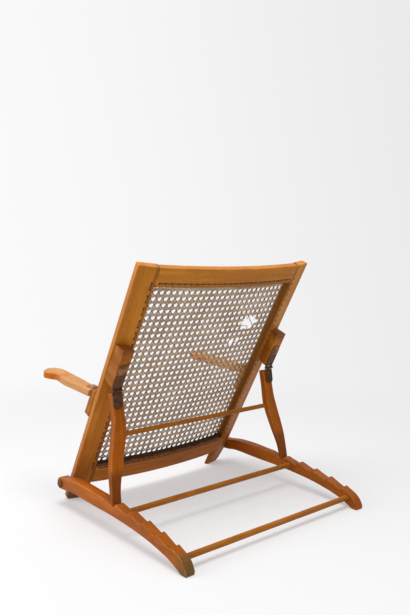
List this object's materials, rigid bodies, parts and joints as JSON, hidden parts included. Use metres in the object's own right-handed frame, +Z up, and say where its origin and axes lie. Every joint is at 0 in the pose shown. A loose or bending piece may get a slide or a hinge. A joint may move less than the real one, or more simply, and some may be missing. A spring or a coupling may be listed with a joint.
{
  "type": "steamer deck chair frame",
  "caption": "Folding wooden deck chair frame with a caned back held up by a strut frame in a notched base, and arms that fold up.",
  "frame": {"origin": "middle of the bounding box, on the floor", "axes": "+Z up, +X to the sitter's left, +Y to the rear of the chair"},
  "size_m": [0.556, 0.576, 0.575],
  "materials": {
    "waxed_wood": "old satin varnish over a warm orange-brown hardwood, worn at the edges",
    "dark_wood": "the same varnished hardwood where it is darker",
    "pale_wood": "varnish worn thin by hands and weather",
    "cane": "dry grey-beige woven cane",
    "bronzed_metal": "dark bronze with a dull patina",
    "aged_steel": "tarnished, half matt"
  },
  "bodies": {
    "base": {"base_rail_left": "waxed_wood", "base_rail_right": "waxed_wood", "base_dowel_front": "dark_wood", "base_dowel_rear": "dark_wood"},
    "back": {"stile_left": "waxed_wood", "stile_right": "waxed_wood", "bottom_rail": "waxed_wood", "top_rail": "waxed_wood", "cane_panel": "cane", "hinge_block_left": "waxed_wood", "hinge_block_right": "waxed_wood", "arm_block_left": "dark_wood", "arm_block_right": "dark_wood", "strut_hinge_upper_leaf_left": "bronzed_metal", "strut_hinge_upper_leaf_right": "bronzed_metal", "strut_hinge_pin_left": "aged_steel", "strut_hinge_pin_right": "aged_steel", "upper_leaf_screw_1_left": "aged_steel", "upper_leaf_screw_1_right": "aged_steel", "upper_leaf_screw_2_left": "aged_steel", "upper_leaf_screw_2_right": "aged_steel", "upper_leaf_screw_3_left": "aged_steel", "upper_leaf_screw_3_right": "aged_steel", "arm_hinge_fixed_leaf_left": "bronzed_metal", "arm_hinge_fixed_leaf_right": "bronzed_metal", "arm_hinge_pin_left": "aged_steel", "arm_hinge_pin_right": "aged_steel", "arm_fixed_leaf_screw_1_left": "aged_steel", "arm_fixed_leaf_screw_1_right": "aged_steel", "arm_fixed_leaf_screw_2_left": "aged_steel", "arm_fixed_leaf_screw_2_right": "aged_steel", "pivot_screw_left": "aged_steel", "pivot_screw_right": "aged_steel", "pivot_washer_left": "aged_steel", "pivot_washer_right": "aged_steel", "pivot_spacer_left": "aged_steel", "pivot_spacer_right": "aged_steel"},
    "strut_frame": {"strut_left": "waxed_wood", "strut_right": "waxed_wood", "strut_dowel": "dark_wood", "strut_hinge_lower_leaf_left": "bronzed_metal", "strut_hinge_lower_leaf_right": "bronzed_metal", "lower_leaf_screw_1_left": "aged_steel", "lower_leaf_screw_1_right": "aged_steel", "lower_leaf_screw_2_left": "aged_steel", "lower_leaf_screw_2_right": "aged_steel", "lower_leaf_screw_3_left": "aged_steel", "lower_leaf_screw_3_right": "aged_steel"},
    "arm_left": {"arm_left": "pale_wood", "arm_hinge_moving_leaf_left": "bronzed_metal", "arm_moving_leaf_screw_1_left": "aged_steel", "arm_moving_leaf_screw_2_left": "aged_steel"},
    "arm_right": {"arm_right": "pale_wood", "arm_hinge_moving_leaf_right": "bronzed_metal", "arm_moving_leaf_screw_1_right": "aged_steel", "arm_moving_leaf_screw_2_right": "aged_steel"}
  },
  "joints": [
    {"name": "back_recline", "type": "hinge", "parent": "base", "child": "back", "pos_m": [0, -0.16101, 0.0527], "axis": [-1, 0, 0], "range_deg": [-20, 0]},
    {"name": "strut_swing", "type": "hinge", "parent": "back", "child": "strut_frame", "pos_m": [0, 0.00792, 0.29641], "axis": [1, 0, 0], "range_deg": [-30, 0]},
    {"name": "arm_fold_left", "type": "hinge", "parent": "back", "child": "arm_left", "pos_m": [0.231, -0.07713, 0.28817], "axis": [-1, 0, 0], "range_deg": [0, 105]},
    {"name": "arm_fold_right", "type": "hinge", "parent": "back", "child": "arm_right", "pos_m": [-0.231, -0.07713, 0.28817], "axis": [-1, 0, 0], "range_deg": [0, 105]}
  ],
  "couplings": [
    {"joint": "strut_swing", "follows": "back_recline", "ratio": 1.5}
  ]
}
